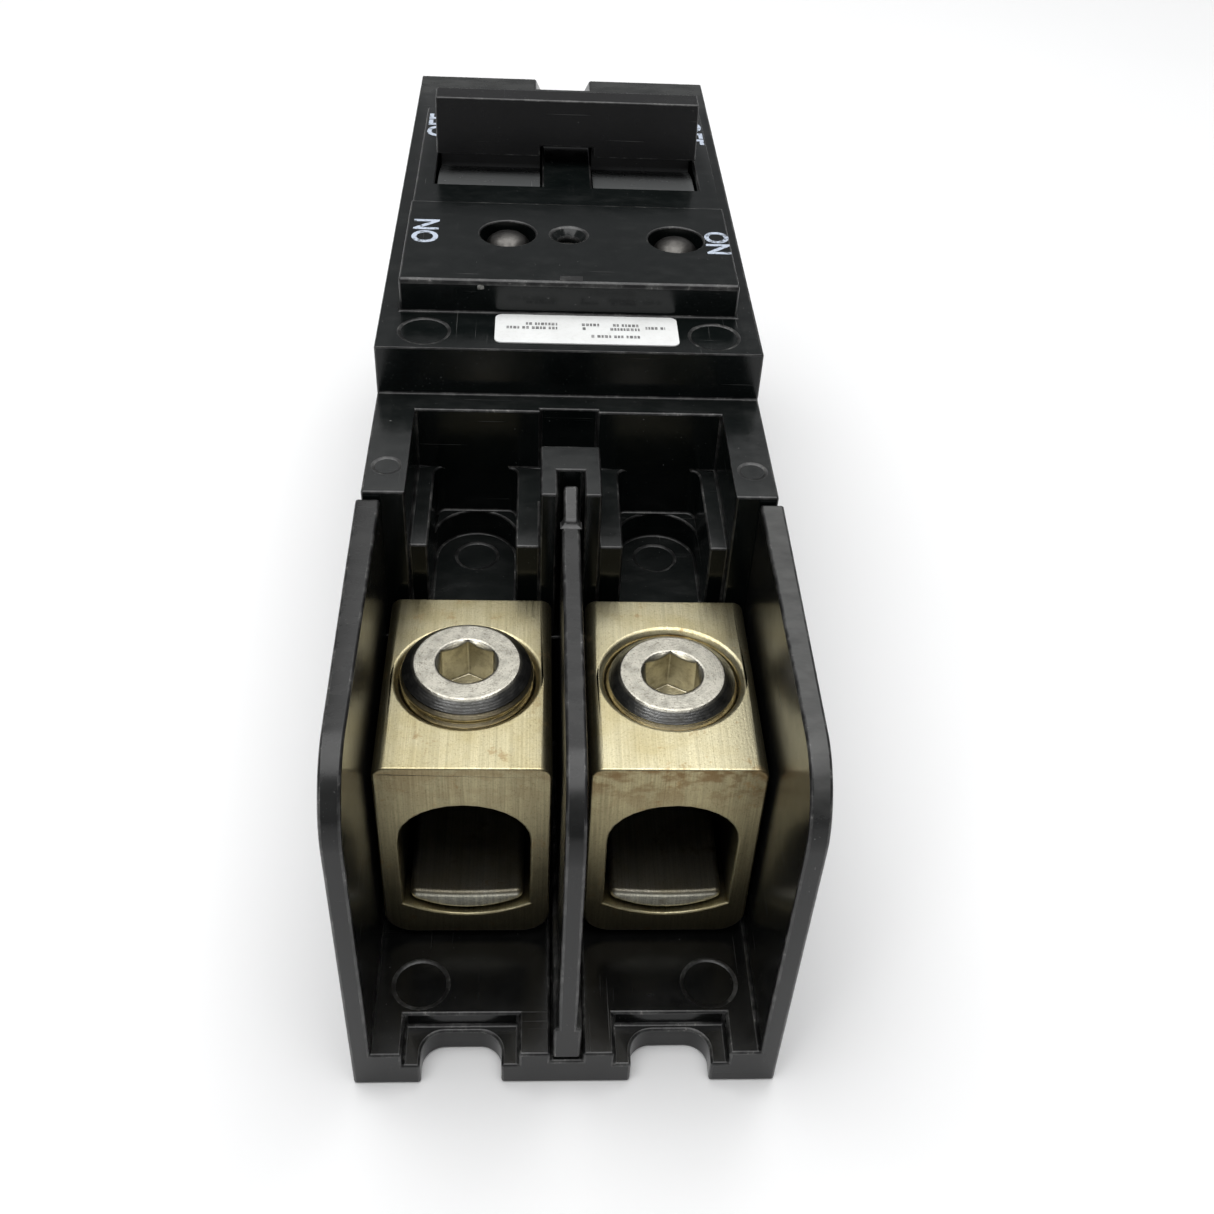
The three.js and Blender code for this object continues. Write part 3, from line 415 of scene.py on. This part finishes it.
def bare_metal(name, base, rough):
    """Plain metal with cloudy tarnish and a fine grain."""
    tree = Tree(name)
    tarnish = tree.span(tree.noise(2.4, 4.0, 0.65), 0.4, 0.7)
    colour = tree.mix(tarnish, base, shade(base, 0.5))
    shine = tree.span(tarnish, 0, 1, rough, rough + 0.15)
    tree.set(Base_Color=colour, Metallic=1.0, Roughness=shine)
    tree.set(Normal=tree.bump(tree.noise(0.5, 3.0, 0.6), 0.02))
    return tree.material


def fibre_board(name):
    """Brown pressed board with upright strands."""
    tree = Tree(name)
    strands = tree.noise(1, 4.0, 0.6, tree.stretched(0.4, 0.4, 6))
    colour = tree.mix(tree.span(strands, 0.3, 0.7), (0.2, 0.13, 0.08), (0.32, 0.23, 0.14))
    shine = tree.span(strands, 0.3, 0.7, 0.7, 0.85)
    tree.set(Base_Color=colour, Roughness=shine, Normal=tree.bump(strands, 0.05))
    return tree.material


def printed(name, ink, worn, low, high, rough):
    """Print or paper that wears towards a second colour; low and high set how much is worn."""
    tree = Tree(name)
    rubbed = tree.span(tree.noise(0.9, 4.0, 0.65), low, high)
    soil = tree.span(tree.noise(5, 3.0, 0.6), 0.45, 0.75)
    colour = tree.mix(tree.times(soil, 0.12), tree.mix(rubbed, ink, worn), (0.3, 0.29, 0.27))
    tree.set(Base_Color=colour, Roughness=tree.span(rubbed, 0, 1, rough, rough + 0.12))
    tree.set(Normal=tree.bump(tree.noise(0.5, 2.0, 0.5), 0.004))
    return tree.material


CASE = moulded("case_black", (0.004, 0.0042, 0.0042), (0.007, 0.0073, 0.0072), 0.21,
               specular=0.38, gathered=brink_dust)
COVER = moulded("cover_black", (0.0024, 0.0036, 0.0035), (0.005, 0.0066, 0.0064), 0.17,
                specular=0.36, gathered=rim_dust)
GRIP = moulded("handle_black", (0.0035, 0.0035, 0.0036), (0.0065, 0.0065, 0.0068), 0.24,
               specular=0.4, shield=True)
BROWN = moulded("brown_phenolic", (0.05, 0.028, 0.015), (0.09, 0.05, 0.028), 0.4)
# EDGE colours the rounded edges: partly wear, partly a painted highlight.
EDGE = edge_wear_and_highlight("case_edge", (0.008, 0.008, 0.008), (0.06, 0.06, 0.058))
# Each lug's second colour, for its cut ends, is darker: painted shade for their dim front faces.
LUGS = {
    "left": plated("lug_plating_left", (0.58, 0.525, 0.335), (0.42, 0.37, 0.22),
                   (0.3, 0.19, 0.08), 0.4, lug="lug_left"),
    "right": plated("lug_plating_right", (0.66, 0.605, 0.4), (0.46, 0.4, 0.23),
                    (0.33, 0.2, 0.08), 6.1, lug="lug_right", drips=0.8),
}
STRAP = plated("strap_plating", (0.34, 0.32, 0.26), (0.9, 0.88, 0.74), (0.16, 0.11, 0.06), 2.2,
               rough=0.42)
COPPER = bare_metal("bare_copper", (0.72, 0.36, 0.22), 0.3)
STEEL = bare_metal("zinc_steel", (0.52, 0.52, 0.5), 0.35)
SILVER = bare_metal("contact_silver", (0.8, 0.8, 0.77), 0.25)
RIVET = bare_metal("dark_rivet", (0.1, 0.096, 0.09), 0.32)
FIBRE = fibre_board("fibre_board")
PAPER = printed("label_white", (0.8, 0.81, 0.8), (0.72, 0.73, 0.71), 0.5, 0.8, 0.4)
INK = printed("label_ink", (0.13, 0.13, 0.13), (0.4, 0.4, 0.4), 0.45, 0.7, 0.6)
PAINT = printed("pad_print", (0.5, 0.56, 0.66), (0.06, 0.07, 0.08), 0.52, 0.66, 0.5)
CHIP = printed("chipped_resin", (0.3, 0.3, 0.28), (0.12, 0.12, 0.11), 0.4, 0.6, 0.7)


# ---- surfaces of the CAD nodes ------------------------------------------------------------
CORNER_DEGREES = 28                # edges sharper than this are rounded
SHARP_DEGREES = 50                 # edges sharper than this stay sharp in the shading
FLAT_DEGREES = 0.6                 # facets within this angle are joined into one face
WELD_REACH = 2e-6


class ShapeTree:
    """A geometry nodes group under construction, from its input geometry to its output."""

    def __init__(self, name):
        self.group = bpy.data.node_groups.new(name, "GeometryNodeTree")
        self.nodes = self.group.nodes
        self.links = self.group.links
        for way in ("INPUT", "OUTPUT"):
            self.group.interface.new_socket(
                name="Geometry", in_out=way, socket_type="NodeSocketGeometry")
        self.flow = self.nodes.new("NodeGroupInput").outputs[0]

    def maths(self, kind, operation, first, second):
        node = self.nodes.new(kind)
        node.operation = operation
        for socket, value in zip(node.inputs, (first, second)):
            if isinstance(value, bpy.types.NodeSocket):
                self.links.new(value, socket)
            elif value is not None:
                socket.default_value = value
        return node.outputs[0]

    def number(self, operation, first, second):
        return self.maths("ShaderNodeMath", operation, first, second)

    def vector(self, operation, first, second=None):
        return self.maths("ShaderNodeVectorMath", operation, first, second)

    def sharper(self, degrees):
        """True on edges whose faces turn by more than the given angle."""
        angle = self.nodes.new("GeometryNodeInputMeshEdgeAngle").outputs["Unsigned Angle"]
        return self.number("GREATER_THAN", angle, math.radians(degrees))

    def then(self, kind):
        """Adds a node that the geometry passes through."""
        node = self.nodes.new(kind)
        self.links.new(self.flow, node.inputs["Geometry"])
        self.flow = node.outputs[0]
        return node

    def done(self):
        self.links.new(self.flow, self.nodes.new("NodeGroupOutput").inputs[0])
        return self.group


def smooth_shading(name, sharp_degrees):
    """Shades a mesh smooth except across edges sharper than the given angle."""
    tree = ShapeTree(name)
    tree.then("GeometryNodeSetShadeSmooth")
    edges = tree.then("GeometryNodeSetShadeSmooth")
    edges.domain = "EDGE"
    edges.inputs["Shade Smooth"].default_value = False
    tree.links.new(tree.sharper(sharp_degrees), edges.inputs["Selection"])
    return tree.done()


def corner_marks(name, hollows):
    """Marks the corners to round: every sharp enough edge outside the hollows' boxes."""
    tree = ShapeTree(name)
    marked = tree.sharper(CORNER_DEGREES)
    place = tree.nodes.new("GeometryNodeInputPosition").outputs[0]
    for low, high in hollows:
        offset = tree.vector("SUBTRACT", place, (low + high) / 2)
        beyond = tree.vector("SUBTRACT", tree.vector("ABSOLUTE", offset), (high - low) / 2)
        split = tree.nodes.new("ShaderNodeSeparateXYZ")
        tree.links.new(beyond, split.inputs[0])
        x, y, z = split.outputs
        furthest = tree.number("MAXIMUM", tree.number("MAXIMUM", x, y), z)
        outside = tree.number("GREATER_THAN", furthest, 0.0)
        marked = tree.number("MULTIPLY", marked, outside)
    store = tree.then("GeometryNodeStoreNamedAttribute")
    store.data_type = "FLOAT"
    store.domain = "EDGE"
    store.inputs["Name"].default_value = "bevel_weight_edge"
    value = next(socket for socket in store.inputs if socket.name == "Value" and socket.enabled)
    tree.links.new(marked, value)
    return tree.done()


def hollow(x, y, z):
    """Box between pairs of millimetres; y is counted from the lug end."""
    return tuple(Vector((x[i] * MM, from_lug_end(y[i]), z[i] * MM)) for i in (0, 1))


def twin_hollows(x, y, z):
    """The same box on both sides of the middle."""
    return [hollow(x, y, z), hollow((-x[1], -x[0]), y, z)]


SMOOTH = smooth_shading("smooth_shading", SHARP_DEGREES)
# Where corners stay sharp: the insides, and the floors of the twin ejector marks.
HOLLOWS = {
    "cover": [
        hollow((-28.2, 28.2), (88.2, 202.6), (30, 74)),
        hollow((-26, 26), (99, 171), (30, 79.6)),
        *twin_hollows((11.5, 19.2), (71, 79), (41, 41.2)),
        *twin_hollows((26, 30.8), (63, 68.5), (66, 66.6)),
        *twin_hollows((19.4, 28.6), (87, 96.3), (75, 75.3)),
    ],
    "base_housing": [
        hollow((-29.1, 29.1), (60.5, 203), (3.5, 40)),
        *twin_hollows((17.5, 27), (7.5, 17), (7, 7.6)),
    ],
    "handle": [hollow((-26, 26), (100, 190), (20, 81.6))],
}


def finish(name, material, edge=None, width=0.0, segments=2):
    """Gives a CAD node its material and, with a width, rounded edges of that many millimetres."""
    node = NODES[name]
    node.data.materials.clear()
    node.data.materials.append(material)
    node.data.materials.append(edge or material)
    weld = node.modifiers.new("weld", "WELD")
    weld.merge_threshold = WELD_REACH
    flatten = node.modifiers.new("flatten", "DECIMATE")
    flatten.decimate_type = "DISSOLVE"
    flatten.angle_limit = math.radians(FLAT_DEGREES)
    if width:
        corners = node.modifiers.new("corners", "NODES")
        corners.node_group = corner_marks(f"corners_{name}", HOLLOWS.get(name, ()))
        round_off = node.modifiers.new("round", "BEVEL")
        round_off.width = width * MM
        round_off.segments = segments
        round_off.limit_method = "WEIGHT"
        round_off.use_clamp_overlap = False
        round_off.material = 1
    node.modifiers.new("smooth", "NODES").node_group = SMOOTH
    even = node.modifiers.new("even", "WEIGHTED_NORMAL")
    even.keep_sharp = True


STEEL_PIECES = ("bimetal", "magnet_yoke", "armature", "trim_screw", "cradle", "cradle_pin",
                "main_spring")
finish("base_housing", CASE, EDGE, 0.45)
finish("cover", COVER, EDGE, 0.35)
finish("handle", GRIP, EDGE, 0.29, 3)
finish("centre_barrier", CASE, EDGE, 0.5, 3)
finish("rating_label", PAPER)
finish("handle_pin", STEEL)
finish("deck_screw", RIVET)
finish("crossbar", BROWN)
finish("trip_bar", BROWN)
for side in SIDES:
    screw_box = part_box(f"set_screw_{side}")
    screw = turned_steel(f"screw_steel_{side}", (0.52, 0.5, 0.43), *screw_box)
    finish(f"lug_{side}", LUGS[side], width=0.35, segments=3)
    finish(f"set_screw_{side}", screw, width=0.2)
    finish(f"load_strap_{side}", STRAP, width=0.9, segments=3)
    finish(f"deck_rivet_{side}", RIVET)
    finish(f"arc_chute_{side}", FIBRE)
    finish(f"braid_{side}", COPPER)
    for name in ("line_strap", "contact_arm"):
        finish(f"{name}_{side}", COPPER, width=0.2)
    for name in ("moving_contact", "fixed_contact"):
        finish(f"{name}_{side}", SILVER, width=0.3)
    for name in STEEL_PIECES:
        finish(f"{name}_{side}", STEEL)


# ---- printed words and marks: sizes and places in millimetres, y from the lug end ----------
DECK_TOP = 81.3
RELIEF_TOP = 80.0
LABEL_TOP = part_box("rating_label")[1][2] / MM
PRINT_LIFT = 0.03                  # print stands this far off its face
CHIP_LIFT = 0.06
CHIP_CORNERS = 11
CHIP_REACH = (0.7, 1.0)            # of its corners, as shares of the half sizes
FONT_WEIGHT = 0.025                # outline offset, at a font size of one
DASH_HALF_HEIGHT = 0.42
LABEL_SEED = 4
DASH_WIDTHS = (0.3, 0.55)
DASH_GAPS = (0.16, 0.16, 0.2, 0.5)
LABEL_ROWS = (                     # y, first x, last x
    (94.1, -7.3, -2.1), (94.1, 2.0, 4.9), (94.1, 7.2, 11.6),
    (92.8, -10.5, -2.1), (92.8, 2.1, 2.6), (92.8, 6.7, 11.6),
    (90.4, 3.5, 11.6), (93.4, 12.6, 15.9),
)


def add_piece(name, mesh, material):
    """Adds a loose mesh that rides on the case."""
    mesh.materials.clear()
    mesh.materials.append(material)
    piece = bpy.data.objects.new(name, mesh)
    bpy.context.collection.objects.link(piece)
    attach(piece, "case")


def word(name, text, x, y, top, turn, cap, length):
    """Flat lettering about its middle on a face at height top, turned about Z by degrees.

    cap is the height of its capitals and length its whole length.
    """
    curve = bpy.data.curves.new(name, "FONT")
    curve.body = text
    curve.size = 1.0
    curve.offset = FONT_WEIGHT
    source = bpy.data.objects.new(name, curve)
    bpy.context.collection.objects.link(source)
    graph = bpy.context.evaluated_depsgraph_get()
    mesh = bpy.data.meshes.new_from_object(source.evaluated_get(graph))
    bpy.data.objects.remove(source)
    across = [vertex.co.x for vertex in mesh.vertices]
    upright = [vertex.co.y for vertex in mesh.vertices]
    centre = Vector(((min(across) + max(across)) / 2, (min(upright) + max(upright)) / 2, 0))
    scale = Matrix.Diagonal((length * MM / (max(across) - min(across)),
                             cap * MM / (max(upright) - min(upright)), 1, 1))
    spin = Matrix.Rotation(math.radians(turn), 4, "Z")
    middle = Matrix.Translation((x * MM, from_lug_end(y), (top + PRINT_LIFT) * MM))
    mesh.transform(middle @ spin @ scale @ Matrix.Translation(-centre))
    add_piece(name, mesh, PAINT)


def flat_patches(name, patches, top, material):
    """Flat rectangles (x0, x1, y0, y1) just above a face at height top."""
    corners, faces = [], []
    for x0, x1, y0, y1 in patches:
        first = len(corners)
        for x, y in ((x0, y0), (x1, y0), (x1, y1), (x0, y1)):
            corners.append((x * MM, from_lug_end(y), (top + PRINT_LIFT) * MM))
        faces.append(tuple(range(first, first + 4)))
    mesh = bpy.data.meshes.new(name)
    mesh.from_pydata(corners, [], faces)
    add_piece(name, mesh, material)


def label_marks():
    """Rows of short grey dashes that stand for small print."""
    rng = random.Random(LABEL_SEED)
    patches = []
    for y, start, end in LABEL_ROWS:
        x = start
        while x < end:
            wide = rng.uniform(*DASH_WIDTHS)
            patches.append((x, min(x + wide, end), y - DASH_HALF_HEIGHT, y + DASH_HALF_HEIGHT))
            x += wide + rng.choice(DASH_GAPS)
    flat_patches("label_marks", patches, LABEL_TOP, INK)


def chip(name, x, y, z, wide, tall, seed):
    """Ragged pale flake on a face that looks towards the lug end."""
    rng = random.Random(seed)
    ring = []
    for i in range(CHIP_CORNERS):
        angle = 2 * math.pi * i / CHIP_CORNERS
        reach = rng.uniform(*CHIP_REACH)
        across = wide / 2 * reach * math.cos(angle)
        upward = tall / 2 * reach * math.sin(angle)
        ring.append(((x + across) * MM, from_lug_end(y), (z + upward) * MM))
    middle = (x * MM, from_lug_end(y - CHIP_LIFT), z * MM)
    fan = [(0, 1 + i, 1 + (i + 1) % CHIP_CORNERS) for i in range(CHIP_CORNERS)]
    mesh = bpy.data.meshes.new(name)
    mesh.from_pydata([middle, *ring], [], fan)
    add_piece(name, mesh, CHIP)


word("on_left", "ON", -25.05, 115.6, DECK_TOP, turn=90, cap=4.6, length=8.8)
word("on_right", "ON", 26.1, 113.7, DECK_TOP, turn=-90, cap=4.3, length=8.4)
word("off_left", "OFF", -25.5, 165.8, RELIEF_TOP, turn=90, cap=4.6, length=11.5)
word("off_right", "OFF", 25.8, 165.3, RELIEF_TOP, turn=-90, cap=4.6, length=11.5)
label_marks()
flat_patches("gate_mark", [(-1.7, 2.1, 98.5, 100.2)], DECK_TOP, EDGE)
chip("edge_chip", -14.9, 97.87, 80.1, wide=1.5, tall=1.1, seed=3)


# ---- stage, light and camera --------------------------------------------------------------
FLOOR_HALF_SIZE = 4.0
SKY_COLOUR = (0.97, 0.98, 1, 1)
SKY_STRENGTH = 0.23
CLIP_START = 0.01


def floor():
    """Plain pale floor under the part."""
    mesh = bpy.data.meshes.new("floor")
    turns = ((-1, -1), (1, -1), (1, 1), (-1, 1))
    corners = [(FLOOR_HALF_SIZE * x, FLOOR_HALF_SIZE * y, 0) for x, y in turns]
    mesh.from_pydata(corners, [], [(0, 1, 2, 3)])
    obj = bpy.data.objects.new("floor", mesh)
    bpy.context.collection.objects.link(obj)
    tree = Tree("pale_floor")
    tone = tree.span(tree.noise(300, 2.0, 0.55), 0.3, 0.7)
    tree.set(Base_Color=tree.mix(tone, (0.9, 0.9, 0.9), (0.93, 0.93, 0.93)), Roughness=0.9)
    mesh.materials.append(tree.material)


def studio_sky():
    """Even, faintly cool light from all around."""
    world = bpy.data.worlds.new("studio")
    world.use_nodes = True
    sky = world.node_tree.nodes["Background"]
    sky.inputs["Color"].default_value = SKY_COLOUR
    sky.inputs["Strength"].default_value = SKY_STRENGTH
    bpy.context.scene.world = world


def area_light(name, place, target, size, power):
    """Rectangular light at a place, aimed at a target."""
    data = bpy.data.lights.new(name, "AREA")
    data.shape = "RECTANGLE"
    data.size, data.size_y = size
    data.energy = power
    obj = bpy.data.objects.new(name, data)
    obj.location = place
    obj.rotation_mode = "QUATERNION"
    obj.rotation_quaternion = (Vector(target) - Vector(place)).to_track_quat("-Z", "Y")
    bpy.context.collection.objects.link(obj)


def camera(place, azimuth, drop, roll, focal, sensor):
    """Camera looking azimuth degrees towards +X from +Y, and drop degrees below the horizon."""
    data = bpy.data.cameras.new("camera")
    data.sensor_width = sensor
    data.lens = focal
    data.clip_start = CLIP_START
    obj = bpy.data.objects.new("camera", data)
    obj.location = place
    heading, dip = math.radians(azimuth), math.radians(drop)
    level = math.cos(dip)
    look = Vector((math.sin(heading) * level, math.cos(heading) * level, -math.sin(dip)))
    tilt = Matrix.Rotation(math.radians(roll), 4, "Z")
    turn = look.to_track_quat("-Z", "Y").to_matrix().to_4x4() @ tilt
    obj.rotation_mode = "QUATERNION"
    obj.rotation_quaternion = turn.to_quaternion()
    bpy.context.collection.objects.link(obj)
    bpy.context.scene.camera = obj


floor()
studio_sky()
area_light("overhead", (-0.1, 0.0, 1.2), (0, 0, 0), size=(1.3, 1.3), power=17)
area_light("back_softbox", (0.15, 0.75, 1.0), (0, -0.05, 0.05), size=(0.9, 0.55), power=1.9)
area_light("front_fill", (-0.7, -0.9, 0.6), (0, 0, 0.04), size=(0.3, 0.6), power=1.3)
camera((-0.00605, -0.20911, 0.18926), azimuth=4.305, drop=41.234, roll=3.446,
       focal=40.13, sensor=36.0)
bpy.context.scene.view_settings.view_transform = "Standard"
